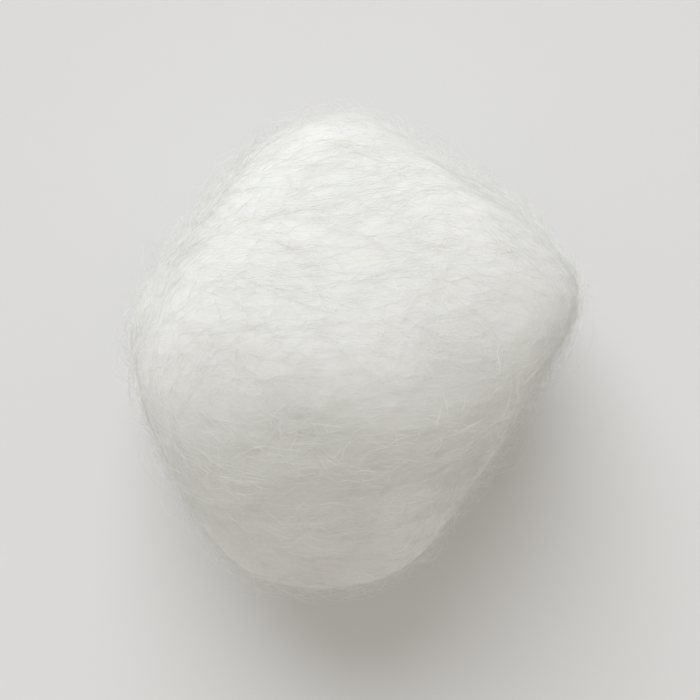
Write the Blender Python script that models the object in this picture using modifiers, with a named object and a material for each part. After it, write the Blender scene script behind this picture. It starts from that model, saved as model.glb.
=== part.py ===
"""Builds a 0.5 g cotton ball: one wad of carded cotton, rolled up and then pressed out of round.

Metres, +Z up. The origin is the middle of the ball's outline, on the surface that it rests on.
+X runs across the roll, and +Y runs close to the roll's own axis. The finished ball is about 28 mm wide,
30 mm long and 25 mm high.
"""

import math

import bmesh
import bpy
from mathutils import Vector

MM = 0.001

# The free wad's three diameters, before anything presses it.
WIDTH = 32.0 * MM
LENGTH = 32.8 * MM
HEIGHT = 27.8 * MM

# How far the underside is pressed flat where the ball rests.
BASE_PRESS = 2.8 * MM

# The flats that storage has pressed into the wad. Each row is the way the flat faces, as degrees round
# from +X and degrees above the horizon, and how deep it is pressed. A harder ridge between two flats is
# a sharper one.
DEEP_PRESS = 4.2 * MM
FIRM_PRESS = 3.0 * MM
LIGHT_PRESS = 1.3 * MM
PRESSED_FLATS = (
    (97.0, 61.0, LIGHT_PRESS),
    (268.0, 47.0, LIGHT_PRESS),
    (327.0, 7.0, DEEP_PRESS),
    (51.0, 8.0, FIRM_PRESS),
    (203.0, 6.0, FIRM_PRESS),
    (143.0, 12.0, DEEP_PRESS),
    (24.0, -42.0, LIGHT_PRESS),
    (96.0, -36.0, LIGHT_PRESS),
    (170.0, -40.0, LIGHT_PRESS),
    (248.0, -40.0, LIGHT_PRESS),
    (308.0, -38.0, LIGHT_PRESS),
)
RIDGE_HARDNESS = 11.0

# Shallow hollows in the soft surface, and the way that each of them faces.
HOLLOW_DEPTH = 0.6 * MM
HOLLOW_HALF_WIDTH = 3.8 * MM
HOLLOWS = ((312.0, 42.0), (166.0, 24.0), (74.0, 22.0), (205.0, -20.0))

# The roll: the sliver is wound round this axis, and its loose side edge lies over the turn below as a
# soft step. That step crosses the roll at LAP_AT from its middle, climbs along it as it goes round, and
# stands proudest at one angle from the top. The axis and that angle are in degrees.
ROLL_AXIS_AZIMUTH = 94.0
ROLL_AXIS_ELEVATION = 7.0
LAP_STEP = 0.55 * MM
LAP_ROUNDING = 2.4 * MM
LAP_AT = 0.5 * MM
LAP_CLIMB = 25.0 * MM
LAP_PROUDEST = 44.0
LAP_FADE_SHARE = 0.6

# The two ends of the roll, where the fibres are drawn together, twisted a little and tucked in.
# Both spreads are in degrees from the end.
TUCK_DEPTH = 0.85 * MM
TUCK_SPREAD = 15.0
FOLDS = 6
FOLD_DEPTH = 0.18 * MM
FOLD_SPREAD = 30.0
FOLD_TWIST = 1.4
FOLD_UNEVENNESS = 1.2

# The cuts across each side of the cube that the ball is swollen from, and how often that is smoothed.
CAGE_CUTS = 12
SMOOTHING_LEVELS = 1

COTTON_COLOUR = (0.91, 0.90, 0.86, 1.0)
COTTON_ROUGHNESS = 0.95


def facing(azimuth, elevation):
    """The unit vector that points this many degrees round from +X and above the horizon."""
    round_z, above = math.radians(azimuth), math.radians(elevation)
    return Vector((math.cos(round_z) * math.cos(above), math.sin(round_z) * math.cos(above), math.sin(above)))


def smooth_step(share):
    """0 below 0, 1 above 1, and an even slope between."""
    share = min(max(share, 0.0), 1.0)
    return share * share * (3 - 2 * share)


def free_radius(way):
    """From the centre to the free wad's surface, along a unit vector."""
    return 1 / math.hypot(way.x / (WIDTH / 2), way.y / (LENGTH / 2), way.z / (HEIGHT / 2))


def free_reach(way):
    """How far out a flat that faces this way can stand and still touch the free wad."""
    return math.hypot(way.x * WIDTH / 2, way.y * LENGTH / 2, way.z * HEIGHT / 2)


def pressed_radius(way, flats):
    """The free radius, cut short by every flat at once, with soft ridges where two flats meet."""
    free = free_radius(way)
    crowding = sum((max(way.dot(normal), 0.0) * free / stand) ** RIDGE_HARDNESS for normal, stand in flats)
    return free * (1 + crowding) ** (-1 / RIDGE_HARDNESS)


def hollow_depth(way, radius):
    """How deep the hollows are at this point, all together."""
    depth = 0.0
    for azimuth, elevation in HOLLOWS:
        along_surface = way.angle(facing(azimuth, elevation)) * radius
        depth += HOLLOW_DEPTH * math.exp(-((along_surface / HOLLOW_HALF_WIDTH) ** 2))
    return depth


def around_roll(way, axis):
    """How far along the roll's axis the unit vector points, and its angle round that axis from the top."""
    across = axis.cross(Vector((0, 0, 1))).normalized()
    up = across.cross(axis)
    return way.dot(axis), math.atan2(way.dot(across), way.dot(up))


def lap_height(along, angle, radius):
    """The loose edge of the outer turn: one layer thicker on its +Y side, and gone half a turn away."""
    from_proudest = math.remainder(angle - math.radians(LAP_PROUDEST), math.tau)
    edge = LAP_AT + LAP_CLIMB * from_proudest / math.tau
    over_edge = smooth_step((along * radius - edge + LAP_ROUNDING / 2) / LAP_ROUNDING)
    gone_half_a_turn_away = math.cos(from_proudest / 2) ** 2
    fade_at_ends = smooth_step((1 - abs(along)) / LAP_FADE_SHARE)
    return LAP_STEP * over_edge * gone_half_a_turn_away * fade_at_ends


def tuck_depth(along, angle):
    """How far the surface is drawn in near an end of the roll: a dimple, with twisted folds round it."""
    from_end = math.acos(min(abs(along), 1.0))
    dimple = TUCK_DEPTH * math.exp(-((from_end / math.radians(TUCK_SPREAD)) ** 2))
    reached = from_end / math.radians(FOLD_SPREAD)
    gathered = reached * math.exp(1 - reached**2)
    twisted = math.copysign(angle, along) + FOLD_TWIST * from_end
    fold = math.sin(FOLDS * twisted + FOLD_UNEVENNESS * math.sin(twisted))
    return dimple + FOLD_DEPTH * fold * gathered


def swollen_cube(cage):
    """A cube cut into grids and swollen to a unit sphere, so that no pole pinches the surface."""
    bmesh.ops.create_cube(cage, size=2.0)
    bmesh.ops.subdivide_edges(cage, edges=cage.edges[:], cuts=CAGE_CUTS, use_grid_fill=True)
    for vertex in cage.verts:
        evened = Vector([math.tan(side * math.pi / 4) for side in vertex.co])
        vertex.co = evened.normalized()


def shape_wad(cage):
    """Moves each point of the unit sphere to the pressed, rolled and tucked surface."""
    axis = facing(ROLL_AXIS_AZIMUTH, ROLL_AXIS_ELEVATION)
    flats = []
    for azimuth, elevation, depth in PRESSED_FLATS:
        normal = facing(azimuth, elevation)
        flats.append((normal, free_reach(normal) - depth))
    for vertex in cage.verts:
        way = vertex.co.copy()
        along, angle = around_roll(way, axis)
        radius = pressed_radius(way, flats)
        radius += lap_height(along, angle, radius)
        radius -= tuck_depth(along, angle) + hollow_depth(way, radius)
        vertex.co = way * radius


def rest_on_base(cage):
    """Presses the underside into one true flat."""
    base = BASE_PRESS - HEIGHT / 2
    for vertex in cage.verts:
        vertex.co.z = max(vertex.co.z, base)


def settle(ball):
    """Stands the smoothed ball on z = 0, with its outline centred on the origin."""
    bpy.context.view_layer.update()
    smoothed = ball.evaluated_get(bpy.context.evaluated_depsgraph_get())
    corners = [Vector(corner) for corner in smoothed.bound_box]
    middle = sum(corners, Vector()) / len(corners)
    lowest = min(corner.z for corner in corners)
    for vertex in ball.data.vertices:
        vertex.co -= Vector((middle.x, middle.y, lowest))


def cotton_material():
    """Dull, warm white fibre."""
    material = bpy.data.materials.new("bleached_cotton")
    material.use_nodes = True
    shader = material.node_tree.nodes["Principled BSDF"]
    shader.inputs["Base Color"].default_value = COTTON_COLOUR
    shader.inputs["Roughness"].default_value = COTTON_ROUGHNESS
    shader.inputs["Metallic"].default_value = 0.0
    return material


def build_ball(collection):
    """The whole ball: one closed wad, with no core and no skin of its own."""
    cage = bmesh.new()
    swollen_cube(cage)
    shape_wad(cage)
    rest_on_base(cage)
    bmesh.ops.recalc_face_normals(cage, faces=cage.faces[:])
    mesh = bpy.data.meshes.new("cotton_ball")
    cage.to_mesh(mesh)
    cage.free()
    mesh.shade_smooth()
    mesh.materials.append(cotton_material())
    ball = bpy.data.objects.new("cotton_ball", mesh)
    collection.objects.link(ball)
    smoothing = ball.modifiers.new("smoothing", "SUBSURF")
    smoothing.levels = SMOOTHING_LEVELS
    smoothing.render_levels = SMOOTHING_LEVELS
    settle(ball)
    return ball


def main():
    for old in list(bpy.data.objects):
        bpy.data.objects.remove(old, do_unlink=True)
    collection = bpy.data.collections.new("cotton_ball")
    bpy.context.scene.collection.children.link(collection)
    build_ball(collection)


main()
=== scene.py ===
# %% [markdown]
# # A cotton ball
#
# A cotton ball starts as sliver: a loose rope of cotton that a carding machine has combed, so that its
# fibres lie roughly side by side. A short length of it is wound up between rollers. The fibres then run
# round the ball, its two ends are drawn in, and a down of loose fibre stands off the surface.
#
# The solid already has the ball's form. This script dresses it in three steps: a skin with the soft
# relief of wound fibre, then the fibres themselves, then light that is soft enough for white on white.

# %% Load the solid
import math

import bmesh
import bpy
import numpy as np
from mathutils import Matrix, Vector, noise


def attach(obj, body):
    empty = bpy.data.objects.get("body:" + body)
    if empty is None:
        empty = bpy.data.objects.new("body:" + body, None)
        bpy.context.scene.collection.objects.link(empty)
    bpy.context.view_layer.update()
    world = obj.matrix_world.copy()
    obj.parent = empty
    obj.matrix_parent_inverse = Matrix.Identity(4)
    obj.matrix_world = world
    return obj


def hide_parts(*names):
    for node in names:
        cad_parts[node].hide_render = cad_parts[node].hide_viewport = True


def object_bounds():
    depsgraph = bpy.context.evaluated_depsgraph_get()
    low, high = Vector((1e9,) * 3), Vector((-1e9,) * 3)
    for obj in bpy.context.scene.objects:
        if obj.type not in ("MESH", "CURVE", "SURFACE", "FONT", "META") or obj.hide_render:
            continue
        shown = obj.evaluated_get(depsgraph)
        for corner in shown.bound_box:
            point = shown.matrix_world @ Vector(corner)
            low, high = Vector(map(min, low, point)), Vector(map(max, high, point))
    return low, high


MM = 0.001
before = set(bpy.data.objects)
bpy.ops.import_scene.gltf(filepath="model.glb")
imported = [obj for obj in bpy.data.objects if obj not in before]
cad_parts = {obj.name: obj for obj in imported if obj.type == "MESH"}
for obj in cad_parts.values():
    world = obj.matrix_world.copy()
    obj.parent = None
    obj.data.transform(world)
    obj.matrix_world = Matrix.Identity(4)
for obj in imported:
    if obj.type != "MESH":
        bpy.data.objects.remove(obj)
cad_low, cad_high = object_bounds()
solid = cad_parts["cotton_ball"]
middle = (cad_low + cad_high) / 2
print("solid, mm:", [round(side / MM, 1) for side in cad_high - cad_low])

# %% [markdown]
# ## An even skin to work on
#
# The solid comes as loose triangles, fine enough for its form but not for relief. Its points are
# merged, its triangles are paired back into quads, and two rounds of subdivision leave a grid of about
# 0.2 mm. A voxel remesh would give an even grid as well, but it would soften the crease where the
# sliver laps over.

# %% Make the skin
MERGE_WITHIN = 0.01 * MM
PAIR_WITHIN = math.radians(60)
SKIN_LEVELS = 2


def finished_mesh(made):
    """The object's mesh with its modifiers applied and removed."""
    bpy.context.view_layer.update()
    graph = bpy.context.evaluated_depsgraph_get()
    mesh = bpy.data.meshes.new_from_object(made.evaluated_get(graph))
    made.modifiers.clear()
    made.data = mesh
    return mesh


grid = bmesh.new()
grid.from_mesh(solid.data)
bmesh.ops.remove_doubles(grid, verts=grid.verts[:], dist=MERGE_WITHIN)
bmesh.ops.join_triangles(
    grid, faces=grid.faces[:], angle_face_threshold=PAIR_WITHIN, angle_shape_threshold=PAIR_WITHIN
)
skin_mesh = bpy.data.meshes.new("cotton_wad")
grid.to_mesh(skin_mesh)
grid.free()
skin_mesh.materials.clear()
wad = bpy.data.objects.new("cotton_wad", skin_mesh)
bpy.context.scene.collection.objects.link(wad)
finer = wad.modifiers.new("finer", "SUBSURF")
finer.levels = SKIN_LEVELS
finer.render_levels = SKIN_LEVELS
skin_mesh = finished_mesh(wad)
print("skin points:", len(skin_mesh.vertices), "faces:", len(skin_mesh.polygons))

# %% [markdown]
# ## Which way the fibres run
#
# Everything on a cotton ball follows its winding, so the direction is worked out once and kept on the
# skin. It circles the roll's axis, and close to the two ends it turns inwards, because the fibres are
# drawn together there. A second set of coordinates is squeezed along that direction: any noise that
# reads it comes out as long streaks that follow the fibres.

# %% Find the winding direction
ROLL_MIDDLE = np.array([-0.5, 0.5, 11.1]) * MM
ROLL_AXIS_AZIMUTH = math.radians(94)
ROLL_AXIS_ELEVATION = math.radians(7)
DRAWN_IN_FROM = math.radians(42)
CIRCLING_LOST = 0.7
STREAK_STRETCH = 7.0

roll_axis = np.array([
    math.cos(ROLL_AXIS_AZIMUTH) * math.cos(ROLL_AXIS_ELEVATION),
    math.sin(ROLL_AXIS_AZIMUTH) * math.cos(ROLL_AXIS_ELEVATION),
    math.sin(ROLL_AXIS_ELEVATION),
])


def read_vectors(collection, name):
    """One vector for each element of a mesh's collection, as rows."""
    values = np.zeros(len(collection) * 3)
    collection.foreach_get(name, values)
    return values.reshape(-1, 3)


def unit(rows):
    """Each row, at length 1."""
    return rows / np.maximum(np.linalg.norm(rows, axis=1, keepdims=True), 1e-9)


def smooth_step(shares):
    """0 below 0, 1 above 1, and an even slope between."""
    shares = np.clip(shares, 0, 1)
    return shares * shares * (3 - 2 * shares)


def keep(mesh, name, values):
    """Stores a number or a vector on each point of the mesh, to be read by its name."""
    kind, field = ("FLOAT", "value") if values.ndim == 1 else ("FLOAT_VECTOR", "vector")
    attribute = mesh.attributes.new(name, kind, "POINT")
    attribute.data.foreach_set(field, values.astype(np.float32).ravel())


points = read_vectors(skin_mesh.vertices, "co")
normals = read_vectors(skin_mesh.vertex_normals, "vector")
from_middle = points - ROLL_MIDDLE
along = from_middle @ roll_axis
off_axis = from_middle - along[:, None] * roll_axis
circling = unit(np.cross(roll_axis, off_axis))
from_end = np.arctan2(np.linalg.norm(off_axis, axis=1), np.abs(along))
drawn_in = smooth_step(1 - from_end / DRAWN_IN_FROM)[:, None]
winding = circling * (1 - CIRCLING_LOST * drawn_in) - unit(off_axis) * drawn_in
winding = unit(winding - normals * np.sum(winding * normals, axis=1, keepdims=True))
streaks = off_axis / STREAK_STRETCH + along[:, None] * roll_axis

keep(skin_mesh, "winding", winding)
keep(skin_mesh, "streaks", streaks)
print("points in the drawn-in ends:", int((drawn_in > 0).sum()))

# %% [markdown]
# The sliver's loose side edge climbs along the roll as it goes round. The solid has a soft step there.
# A number from 0 to 1 marks the strip along it, strongest where the step stands proudest, so that a
# feathered edge of fibres can be laid on that strip alone.

# %% Mark the sliver's edge
LAP_AT = 0.5 * MM
LAP_CLIMB = 25.0 * MM
LAP_PROUDEST = math.radians(44)
LAP_HALF_WIDTH = 1.0 * MM

across = unit(np.cross(roll_axis, [[0.0, 0.0, 1.0]]))[0]
turned = np.arctan2(off_axis @ across, off_axis @ np.cross(across, roll_axis))
from_proudest = (turned - LAP_PROUDEST + math.pi) % math.tau - math.pi
edge = LAP_AT + LAP_CLIMB * from_proudest / math.tau
lap = np.exp(-(((along - edge) / LAP_HALF_WIDTH) ** 2)) * np.cos(from_proudest / 2) ** 2

keep(skin_mesh, "lap", lap)
print("points by the edge:", int((lap > 0.5).sum()))

# %% [markdown]
# ## The relief of wound fibre
#
# Seen close, the surface isn't smooth. There are soft lumps where the wad is fuller, low bands where
# one turn of sliver lies beside the next, and fine strands within each band. Each is a noise of its own
# size, and the last two read the squeezed coordinates. Loose fibre fills the corner below the sliver's
# side edge, so that the step ends softly. Where the step stands proudest there is a fuller brow
# instead, and below it two shallow hollows, left and right, leave the lower face with a soft keel
# between them.
#
# The points move along their normals, apart from the small flat that the ball rests on. That stays
# flat, a hair above the table, so that there is room for fibres under it. Sculpting or a displacement
# modifier could do it too, but with plain numbers each size is a real one, in millimetres.

# %% Move the skin
LUMPS = {"size": 6.0 * MM, "height": 0.30 * MM}
BANDS = {"size": 1.6 * MM, "height": 0.03 * MM}
STRANDS = {"size": 0.5 * MM, "height": 0.012 * MM}
LAP_FOOT = {"below": 1.7 * MM, "half_width": 1.8 * MM, "height": 0.40 * MM}
LAP_BROW = {"below": 1.2 * MM, "half_width": 2.2 * MM, "height": 0.55 * MM}
FOOT_FULL_AT = math.radians(60)
SIDE_HOLLOWS = np.array([[6.7, -8.4, 18.8], [-6.6, -10.4, 16.4]]) * MM
HOLLOW_DEPTH = 0.55 * MM
HOLLOW_HALF_WIDTH = 3.4 * MM
FLAT_FADE = 1.2 * MM
FLAT_CLEARANCE = 0.06 * MM
SKIN_SEED = Vector((3.1, 7.7, 1.9))


def wavy(rows, size):
    """Smooth noise from about -1 to 1 at each row, with waves of this size."""
    return np.array([noise.noise(Vector(row) / size + SKIN_SEED) for row in rows])


def beside_lap(swelling):
    """A soft swelling that runs along the lower side of the sliver's edge."""
    beside = (along - edge + swelling["below"]) / swelling["half_width"]
    return swelling["height"] * np.exp(-(beside**2)) * np.cos(from_proudest / 2) ** 2


relief = LUMPS["height"] * wavy(points, LUMPS["size"])
relief += BANDS["height"] * wavy(streaks, BANDS["size"])
relief += STRANDS["height"] * wavy(streaks, STRANDS["size"])
foot_share = smooth_step(-from_proudest / FOOT_FULL_AT)
relief += foot_share * beside_lap(LAP_FOOT) + (1 - foot_share) * beside_lap(LAP_BROW)
for centre in SIDE_HOLLOWS:
    away = np.linalg.norm(points - centre, axis=1)
    relief -= HOLLOW_DEPTH * np.exp(-((away / HOLLOW_HALF_WIDTH) ** 2))
relief *= smooth_step(points[:, 2] / FLAT_FADE)
points += normals * relief[:, None]
points[:, 2] = np.maximum(points[:, 2], FLAT_CLEARANCE)
skin_mesh.vertices.foreach_set("co", points.ravel())
skin_mesh.update()
skin_mesh.shade_smooth()
print("relief, mm:", round(relief.min() / MM, 2), "to", round(relief.max() / MM, 2))

# %% [markdown]
# ## Small helpers for colours and nodes
#
# Colours are easiest to compare with a photo as sRGB hex values, but Blender works in linear light, so
# one function converts them. A second function adds a node with its settings, values and links in one
# call. It is used for materials and for Geometry Nodes alike.

# %% Define the helpers
def linear(code):
    """An sRGB hex value, such as "F4F2EC", as a linear colour with alpha."""
    shares = [int(code[at:at + 2], 16) / 255 for at in (0, 2, 4)]
    return [s / 12.92 if s <= 0.04045 else ((s + 0.055) / 1.055) ** 2.4 for s in shares] + [1.0]


def add(tree, kind, settings=None, inputs=None):
    """Adds a node. Inputs are given by name or number, and each is a value or a socket to link from."""
    node = tree.nodes.new(kind)
    for name, value in (settings or {}).items():
        setattr(node, name, value)
    for name, value in (inputs or {}).items():
        if isinstance(value, bpy.types.NodeSocket):
            tree.links.new(value, node.inputs[name])
        else:
            node.inputs[name].default_value = value
    return node


# %% [markdown]
# ## Bleached cotton
#
# Bleached, carded cotton is nearly pure cellulose. It is a slightly warm white, quite matt, and light
# goes a few millimetres into the wad and comes out again, which softens every shadow on it. So the wad
# gets subsurface scattering over a millimetre or two, a high roughness, a weak specular and a little
# sheen for the down. The two whites are very close, and drift from one to the other in streaks. Both
# are set a little below the white of the fibres that will lie on the wad. That is painted shade, because
# the skin stands for the shaded depth between the fibres.
#
# A fine bump along the fibres stands for those that are too many to model: real ones are about 0.015 mm
# thick, and these ripples are drawn at about 0.1 mm, so that they show.

# %% Make the wad's material
# Both skin whites sit a little below the fibres' white: painted shade for the depth between fibres.
COTTON_WHITE = linear("F2F2F0")
COTTON_CREAM = linear("F0EFEC")
SCATTER_DEPTH = 1.6 * MM
TINT_SIZE = 2.5 * MM
RIPPLE_SIZE = 0.12 * MM
RIPPLE_HEIGHT = 0.015 * MM

carded = bpy.data.materials.new("carded_bleached_cotton")
carded.use_nodes = True
tree = carded.node_tree
shader = tree.nodes["Principled BSDF"]
shader.inputs["Roughness"].default_value = 0.95
shader.inputs["IOR"].default_value = 1.53
shader.inputs["Specular IOR Level"].default_value = 0.15
shader.inputs["Subsurface Weight"].default_value = 1.0
shader.inputs["Subsurface Radius"].default_value = (1.0, 0.93, 0.85)
shader.inputs["Subsurface Scale"].default_value = SCATTER_DEPTH
shader.inputs["Sheen Weight"].default_value = 0.15
shader.inputs["Sheen Roughness"].default_value = 0.6
streak_place = add(tree, "ShaderNodeAttribute", {"attribute_name": "streaks"}).outputs["Vector"]
drift = add(
    tree, "ShaderNodeTexNoise", inputs={"Vector": streak_place, "Scale": 1 / TINT_SIZE, "Detail": 2.0}
).outputs["Fac"]
whites = add(tree, "ShaderNodeMix", {"data_type": "RGBA"}, {0: drift, 6: COTTON_CREAM, 7: COTTON_WHITE})
tree.links.new(whites.outputs[2], shader.inputs["Base Color"])
ripples = add(
    tree, "ShaderNodeTexNoise", inputs={"Vector": streak_place, "Scale": 1 / RIPPLE_SIZE, "Detail": 3.0}
).outputs["Fac"]
bump = add(tree, "ShaderNodeBump", inputs={"Distance": RIPPLE_HEIGHT, "Height": ripples})
tree.links.new(bump.outputs["Normal"], shader.inputs["Normal"])
skin_mesh.materials.append(carded)
print("material:", carded.name)

# %% [markdown]
# ## A tree that lays fibres
#
# Thousands of fibres lie on the skin, too many to place one by one, so Geometry Nodes do it. The tree
# scatters points over the skin, puts a straight line on each, turned to the winding, and then bends the
# lines: every point of a line wanders a little, is brought back to the skin and is lifted off it again.
# One tree makes the wound surface, the stray fibres and the down. Only its inputs differ.
#
# A particle hair system could do this as well, but it keeps its shape in the scene's settings, and here
# the result has to be a plain mesh.

# %% Name the tree's inputs
fibres = bpy.data.node_groups.new("lay_fibres", "GeometryNodeTree")
FIBRE_INPUTS = {
    "Skin": "NodeSocketGeometry",
    "Density": "NodeSocketFloat",
    "Lap Only": "NodeSocketFloat",
    "Length": "NodeSocketFloat",
    "Stray": "NodeSocketFloat",
    "Bed": "NodeSocketFloat",
    "Lift": "NodeSocketFloat",
    "Free End": "NodeSocketFloat",
    "Crimp": "NodeSocketFloat",
    "Crimp Size": "NodeSocketFloat",
    "Thickness": "NodeSocketFloat",
    "Points": "NodeSocketInt",
    "Seed": "NodeSocketInt",
    "Material": "NodeSocketMaterial",
}
for input_name, input_kind in FIBRE_INPUTS.items():
    fibres.interface.new_socket(input_name, in_out="INPUT", socket_type=input_kind)
fibres.interface.new_socket("Fibres", in_out="OUTPUT", socket_type="NodeSocketGeometry")
given = add(fibres, "NodeGroupInput").outputs
print("fibre inputs:", len(FIBRE_INPUTS))

# %% [markdown]
# The tree needs many small sums, and a fair number of random draws. Two short functions keep those
# readable. Each draw has a number of its own, added to the tree's seed, so that no two draws agree.

# %% Define sums and draws
def maths(operation, *values):
    """The result of a Math node on up to three numbers or sockets."""
    return add(fibres, "ShaderNodeMath", {"operation": operation}, dict(enumerate(values))).outputs[0]


def vectors(operation, *values):
    """The result of a Vector Math node on up to three vectors or sockets."""
    inputs = dict(enumerate(values))
    return add(fibres, "ShaderNodeVectorMath", {"operation": operation}, inputs).outputs[0]


def draw(low, high, number, identity=None):
    """A random number from low to high, one for each point, or for each identity."""
    inputs = {2: low, 3: high, "Seed": maths("ADD", given["Seed"], number)}
    if identity is not None:
        inputs["ID"] = identity
    return add(fibres, "FunctionNodeRandomValue", {"data_type": "FLOAT"}, inputs).outputs[1]


# %% [markdown]
# First come the places and directions. The winding was stored on the skin, and scattered points inherit
# it. A slow noise turns whole patches of fibre a little, as in real sliver, and a random draw turns
# each fibre further. The product of two draws keeps most fibres close to their neighbours' direction
# and lets a few go their own way.

# %% Scatter and turn
PATCH_SIZE = 5.0 * MM
PATCH_TURN = 0.9

by_the_lap = add(
    fibres, "GeometryNodeInputNamedAttribute", {"data_type": "FLOAT"}, {"Name": "lap"}
).outputs[0]
away = maths("MULTIPLY", maths("SUBTRACT", 1.0, by_the_lap), given["Lap Only"])
scattered = add(
    fibres, "GeometryNodeDistributePointsOnFaces", {"distribute_method": "RANDOM"},
    {
        "Mesh": given["Skin"], "Seed": given["Seed"],
        "Density": maths("MULTIPLY", given["Density"], maths("SUBTRACT", 1.0, away)),
    },
)
wound_way = add(
    fibres, "GeometryNodeInputNamedAttribute", {"data_type": "FLOAT_VECTOR"}, {"Name": "winding"}
).outputs[0]
patches = add(
    fibres, "ShaderNodeTexNoise", inputs={"Scale": 1 / PATCH_SIZE, "Detail": 1.0}
).outputs["Fac"]
patch_turn = maths("MULTIPLY", maths("SUBTRACT", patches, 0.5), PATCH_TURN)
own_turn = maths("MULTIPLY", maths("MULTIPLY", draw(-1.0, 1.0, 1), draw(0.0, 1.0, 2)), given["Stray"])
turn = add(
    fibres, "FunctionNodeAxisAngleToRotation",
    inputs={"Axis": scattered.outputs["Normal"], "Angle": maths("ADD", patch_turn, own_turn)},
).outputs[0]
fibre_way = add(
    fibres, "FunctionNodeRotateVector", inputs={"Vector": wound_way, "Rotation": turn}
).outputs[0]
laid = add(
    fibres, "FunctionNodeAxesToRotation", {"primary_axis": "Z", "secondary_axis": "X"},
    {"Primary Axis": scattered.outputs["Normal"], "Secondary Axis": fibre_way},
).outputs[0]
print("nodes so far:", len(fibres.nodes))

# %% [markdown]
# A line of length 1 goes on each point, scaled to the fibre's length. Realising the instances here
# makes them real curves whose points can be moved one by one.

# %% Put a line on each point
SHORTEST = 0.55
LONGEST = 1.35

straight = add(
    fibres, "GeometryNodeCurvePrimitiveLine", inputs={"Start": (-0.5, 0.0, 0.0), "End": (0.5, 0.0, 0.0)}
).outputs[0]
pointed = add(
    fibres, "GeometryNodeResampleCurve", inputs={"Curve": straight, "Count": given["Points"]}
).outputs[0]
placed = add(
    fibres, "GeometryNodeInstanceOnPoints",
    inputs={
        "Points": scattered.outputs["Points"], "Instance": pointed, "Rotation": laid,
        "Scale": maths("MULTIPLY", draw(SHORTEST, LONGEST, 3), given["Length"]),
    },
).outputs[0]
lines = add(fibres, "GeometryNodeRealizeInstances", inputs={"Geometry": placed}).outputs[0]
print("nodes so far:", len(fibres.nodes))

# %% [markdown]
# Then the lines are bent. Cotton is crimped, so a noise with a different fourth coordinate for each
# fibre moves its points to and fro. The moved point is then brought back to the nearest place on the
# skin.

# %% Crimp the lines
here = add(fibres, "GeometryNodeInputPosition").outputs[0]
share = add(fibres, "GeometryNodeSplineParameter").outputs["Factor"]
line_point = add(fibres, "GeometryNodeCurveOfPoint")
own_line = line_point.outputs["Curve Index"]
crimps = add(
    fibres, "ShaderNodeTexNoise", {"noise_dimensions": "4D"},
    {
        "Vector": here, "W": draw(0.0, 100.0, 4, own_line),
        "Scale": maths("DIVIDE", 1.0, given["Crimp Size"]), "Detail": 1.0,
    },
).outputs["Color"]
to_and_fro = vectors("SUBTRACT", crimps, (0.5, 0.5, 0.5))
wander = add(
    fibres, "ShaderNodeVectorMath", {"operation": "SCALE"}, {0: to_and_fro, "Scale": given["Crimp"]}
).outputs[0]
wandered = vectors("ADD", here, wander)
skin_place = add(fibres, "GeometryNodeInputPosition").outputs[0]
skin_normal = add(fibres, "GeometryNodeInputNormal").outputs[0]
on_skin = add(
    fibres, "GeometryNodeSampleNearestSurface", {"data_type": "FLOAT_VECTOR"},
    {"Mesh": given["Skin"], "Value": skin_place, "Sample Position": wandered},
).outputs[0]
outwards = add(
    fibres, "GeometryNodeSampleNearestSurface", {"data_type": "FLOAT_VECTOR"},
    {"Mesh": given["Skin"], "Value": skin_normal, "Sample Position": wandered},
).outputs[0]
print("nodes so far:", len(fibres.nodes))

# %% [markdown]
# From the skin, each point is raised along the normal: by a small random bed, so that fibres cross over
# and under each other, by an arch that leaves both ends on the skin, and by a free end for the down.
# Nothing may sink into the surface that the ball rests on, so the height of each point is kept above
# zero.

# %% Raise the lines off the skin
FREE_END_CURVE = 1.6
LEAST_RISE = 0.15

arch = maths("SINE", maths("MULTIPLY", share, math.pi))
lift_draw = draw(0.0, 1.0, 5, own_line)
lift = maths("MULTIPLY", given["Lift"], maths("MULTIPLY", lift_draw, lift_draw))
arch_height = maths("MULTIPLY", arch, lift)
free_end = maths("MULTIPLY", maths("POWER", share, FREE_END_CURVE), given["Free End"])
end_height = maths("MULTIPLY", free_end, draw(LEAST_RISE, 1.0, 6, own_line))
bed_height = maths("MULTIPLY", given["Bed"], draw(0.0, 1.0, 7, own_line))
height = maths("ADD", bed_height, maths("ADD", arch_height, end_height))
raised = add(
    fibres, "ShaderNodeVectorMath", {"operation": "SCALE"}, {0: outwards, "Scale": height}
).outputs[0]
bent = add(fibres, "ShaderNodeSeparateXYZ", inputs={0: vectors("ADD", on_skin, raised)}).outputs
above_table = maths("MAXIMUM", bent[2], given["Thickness"])
kept_above = add(
    fibres, "ShaderNodeCombineXYZ", inputs={0: bent[0], 1: bent[1], 2: above_table}
).outputs[0]
curls = add(
    fibres, "GeometryNodeSetPosition", inputs={"Geometry": lines, "Position": kept_above}
).outputs[0]

# %% [markdown]
# Last, each curve gets a body: a triangle swept along it, which is round enough for something thinner
# than a pixel and costs six triangles a segment. The fibre thins towards both ends. A random tint is
# stored on each fibre for its material to read.

# %% Give the fibres a body
FIBRE_SIDES = 3
END_THICKNESS = 0.35

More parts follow.
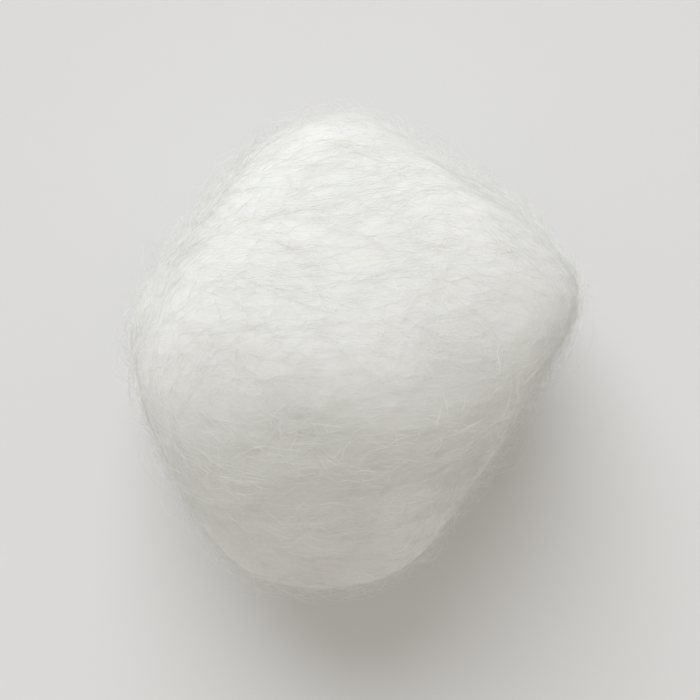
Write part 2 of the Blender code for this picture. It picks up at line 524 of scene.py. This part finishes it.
fullness = maths("ADD", maths("MULTIPLY", arch, 1 - END_THICKNESS), END_THICKNESS)
profile = add(
    fibres, "GeometryNodeCurvePrimitiveCircle",
    inputs={"Resolution": FIBRE_SIDES, "Radius": maths("MULTIPLY", given["Thickness"], 0.5)},
).outputs[0]
tinted = add(
    fibres, "GeometryNodeStoreNamedAttribute", {"data_type": "FLOAT", "domain": "POINT"},
    {"Geometry": curls, "Name": "fibre_tint", "Value": draw(0.0, 1.0, 8, own_line)},
).outputs[0]
bodies = add(
    fibres, "GeometryNodeCurveToMesh",
    inputs={"Curve": tinted, "Profile Curve": profile, "Scale": fullness, "Fill Caps": True},
).outputs[0]
whole = add(fibres, "GeometryNodeRealizeInstances", inputs={"Geometry": bodies}).outputs[0]
finished = add(
    fibres, "GeometryNodeSetMaterial", inputs={"Geometry": whole, "Material": given["Material"]}
).outputs[0]
add(fibres, "NodeGroupOutput", inputs={"Fibres": finished})
print("nodes in the fibre tree:", len(fibres.nodes))

# %% [markdown]
# ## The fibre's own material
#
# A single cotton fibre is a clear, flattened and twisted tube of cellulose, and it is smoother than the
# wad as a whole, so it gets a lower roughness. A heap of them looks white because light bounces from
# one to the next many times over. A renderer follows only some of those bounces, so each fibre is given
# a white that is nearly full, to make up for the rest. It has no subsurface scattering: on something
# this thin that would only draw dark lines.

# %% Make the fibre's material
FIBRE_WHITE = linear("FEFEFD")
FIBRE_CREAM = linear("FBFAF6")

fibre_cotton = bpy.data.materials.new("cotton_fibre")
fibre_cotton.use_nodes = True
tree = fibre_cotton.node_tree
shader = tree.nodes["Principled BSDF"]
shader.inputs["Roughness"].default_value = 0.7
shader.inputs["IOR"].default_value = 1.53
shader.inputs["Specular IOR Level"].default_value = 0.1
own_tint = add(tree, "ShaderNodeAttribute", {"attribute_name": "fibre_tint"}).outputs["Fac"]
whites = add(tree, "ShaderNodeMix", {"data_type": "RGBA"}, {0: own_tint, 6: FIBRE_CREAM, 7: FIBRE_WHITE})
tree.links.new(whites.outputs[2], shader.inputs["Base Color"])
print("material:", fibre_cotton.name)

# %% [markdown]
# ## Laying the fibres
#
# Real cotton fibres are about 25 mm long and 0.015 mm thick. They are drawn as thin as that, and in
# shorter lengths, because the rest of each is inside the wad. Two layers make the surface: one runs
# with the winding and one crosses it. A fringe feathers the sliver's loose edge. Loops, down and a few
# long wisps stand off the ball, and soften its outline. Those cling together here and there, so they
# are drawn a little thicker. Each layer becomes a plain mesh of its own, which keeps every piece small
# enough to handle.

# %% Lay the layers
BEDDED_THICKNESS = 0.015 * MM
LOOSE_THICKNESS = 0.020 * MM
USUAL_POINTS = 8
skin_area = sum(face.area for face in skin_mesh.polygons)


def lay_fibres(name, count, seed, sizes):
    """One layer as a plain mesh, with about this many fibres to the whole skin. A size left out is zero."""
    layer = bpy.data.objects.new(name, skin_mesh)
    bpy.context.scene.collection.objects.link(layer)
    laying = layer.modifiers.new("fibres", "NODES")
    laying.node_group = fibres
    values = {
        "Density": count / skin_area, "Seed": seed, "Points": USUAL_POINTS,
        "Thickness": BEDDED_THICKNESS, "Material": fibre_cotton, **sizes,
    }
    for socket in fibres.interface.items_tree:
        if socket.name in values:
            laying[socket.identifier] = values[socket.name]
    mesh = finished_mesh(layer)
    mesh.name = name
    print(name, "triangles:", sum(len(face.vertices) - 2 for face in mesh.polygons))
    return layer


layers = [
    lay_fibres("wound_fibres", 4200, 11, {
        "Length": 8.0 * MM, "Stray": 1.2, "Bed": 0.03 * MM, "Lift": 0.05 * MM,
        "Crimp": 0.9 * MM, "Crimp Size": 3.0 * MM,
    }),
    lay_fibres("crossing_fibres", 2400, 23, {
        "Length": 5.0 * MM, "Stray": 3.0, "Bed": 0.08 * MM, "Lift": 0.12 * MM,
        "Crimp": 1.6 * MM, "Crimp Size": 2.2 * MM,
    }),
    lay_fibres("lap_fringe", 9000, 29, {
        "Lap Only": 1.0, "Length": 5.0 * MM, "Stray": 0.9, "Bed": 0.10 * MM, "Lift": 0.25 * MM,
        "Free End": 0.2 * MM, "Crimp": 0.9 * MM, "Crimp Size": 2.5 * MM,
    }),
    lay_fibres("loose_loops", 1500, 37, {
        "Length": 4.0 * MM, "Stray": 3.2, "Bed": 0.10 * MM, "Lift": 0.9 * MM,
        "Free End": 0.3 * MM, "Crimp": 2.4 * MM, "Crimp Size": 1.6 * MM, "Points": 12,
        "Thickness": LOOSE_THICKNESS,
    }),
    lay_fibres("down", 4200, 53, {
        "Length": 2.6 * MM, "Stray": 3.2, "Bed": 0.05 * MM, "Lift": 0.1 * MM,
        "Free End": 1.3 * MM, "Crimp": 1.5 * MM, "Crimp Size": 1.2 * MM,
        "Thickness": LOOSE_THICKNESS,
    }),
    lay_fibres("stray_wisps", 170, 71, {
        "Length": 8.0 * MM, "Stray": 3.2, "Bed": 0.10 * MM, "Lift": 1.7 * MM,
        "Free End": 0.7 * MM, "Crimp": 4.0 * MM, "Crimp Size": 3.0 * MM, "Points": 20,
        "Thickness": LOOSE_THICKNESS,
    }),
]

# %% [markdown]
# ## Tying the pieces to the part
#
# The wad stands for the solid, and every layer of fibre goes where the wad goes.

# %% Tie the pieces
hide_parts("cotton_ball")
for piece in [wad, *layers]:
    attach(piece, "root")
print("pieces:", 1 + len(layers))

# %% [markdown]
# ## The table, the light and the camera
#
# White cotton on a pale table is all about soft shade. A large, distant lamp above the top edge of the
# picture lights the upper face, in the slightly cool white of daylight. A sun lamp with a wide angle is
# such a lamp: its light is as soft as a window's, and it lights the whole table evenly, so that the
# table meets the backdrop almost without a line. An area lamp would leave a bright pool below it. The
# world adds nearly as much light again from all round, slightly warm, as a room does. The camera looks
# straight down.

# %% Make the table
TABLE_GREY = linear("E8E7E7")
TABLE_HALF = 1.5

bpy.ops.mesh.primitive_plane_add(size=2 * TABLE_HALF)
table = bpy.context.object
table.name = "table"
surface = bpy.data.materials.new("matt_table")
surface.use_nodes = True
shader = surface.node_tree.nodes["Principled BSDF"]
shader.inputs["Base Color"].default_value = TABLE_GREY
shader.inputs["Roughness"].default_value = 0.9
shader.inputs["Specular IOR Level"].default_value = 0.2
table.data.materials.append(surface)
print("table, m:", 2 * TABLE_HALF, "square")

# %% Set the lamp and the world
LAMP_FROM = Vector((-0.06, 0.26, 0.26))
LAMP_SPREAD = math.radians(45)
LAMP_STRENGTH = 1.89
DAYLIGHT = linear("F4FAFF")
SKY_STRENGTH = 0.49
ROOM_WHITE = linear("FFFAF1")
BACKDROP = linear("DCDBDA")

lamp_data = bpy.data.lights.new("window_lamp", "SUN")
lamp_data.angle = LAMP_SPREAD
lamp_data.energy = LAMP_STRENGTH
lamp_data.color = DAYLIGHT[:3]
lamp = bpy.data.objects.new("window_lamp", lamp_data)
bpy.context.scene.collection.objects.link(lamp)
lamp.location = LAMP_FROM
lamp.rotation_mode = "QUATERNION"
lamp.rotation_quaternion = (-LAMP_FROM).to_track_quat("-Z", "Y")

world = bpy.data.worlds.new("soft_room")
bpy.context.scene.world = world
world.use_nodes = True
tree = world.node_tree
tree.nodes.clear()
rays = add(tree, "ShaderNodeLightPath").outputs
seen = rays["Is Camera Ray"]
for ray in ("Is Glossy Ray", "Is Transmission Ray"):
    seen = add(tree, "ShaderNodeMath", {"operation": "MAXIMUM"}, {0: seen, 1: rays[ray]}).outputs[0]
fill = add(
    tree, "ShaderNodeBackground", inputs={"Color": ROOM_WHITE, "Strength": SKY_STRENGTH}
).outputs[0]
backdrop = add(tree, "ShaderNodeBackground", inputs={"Color": BACKDROP, "Strength": 1.0}).outputs[0]
both = add(tree, "ShaderNodeMixShader", inputs={0: seen, 1: fill, 2: backdrop})
add(tree, "ShaderNodeOutputWorld", inputs={"Surface": both.outputs[0]})
print("lamp:", LAMP_STRENGTH, "and sky:", SKY_STRENGTH)

# %% Place the camera
LENS = 85.0
SENSOR = 36.0
FRAME_HEIGHT = 44.0 * MM
NEAREST_SEEN = 5 * MM
FARTHEST_SEEN = 10.0

camera_data = bpy.data.cameras.new("camera")
camera_data.lens = LENS
camera_data.sensor_width = SENSOR
camera_data.clip_start = NEAREST_SEEN
camera_data.clip_end = FARTHEST_SEEN
camera = bpy.data.objects.new("camera", camera_data)
bpy.context.scene.collection.objects.link(camera)
camera.location = (0.0, 0.0, middle.z + FRAME_HEIGHT / 2 * LENS / (SENSOR / 2))
bpy.context.scene.camera = camera
bpy.context.scene.view_settings.view_transform = "Standard"
print("camera height, mm:", round(camera.location.z / MM))
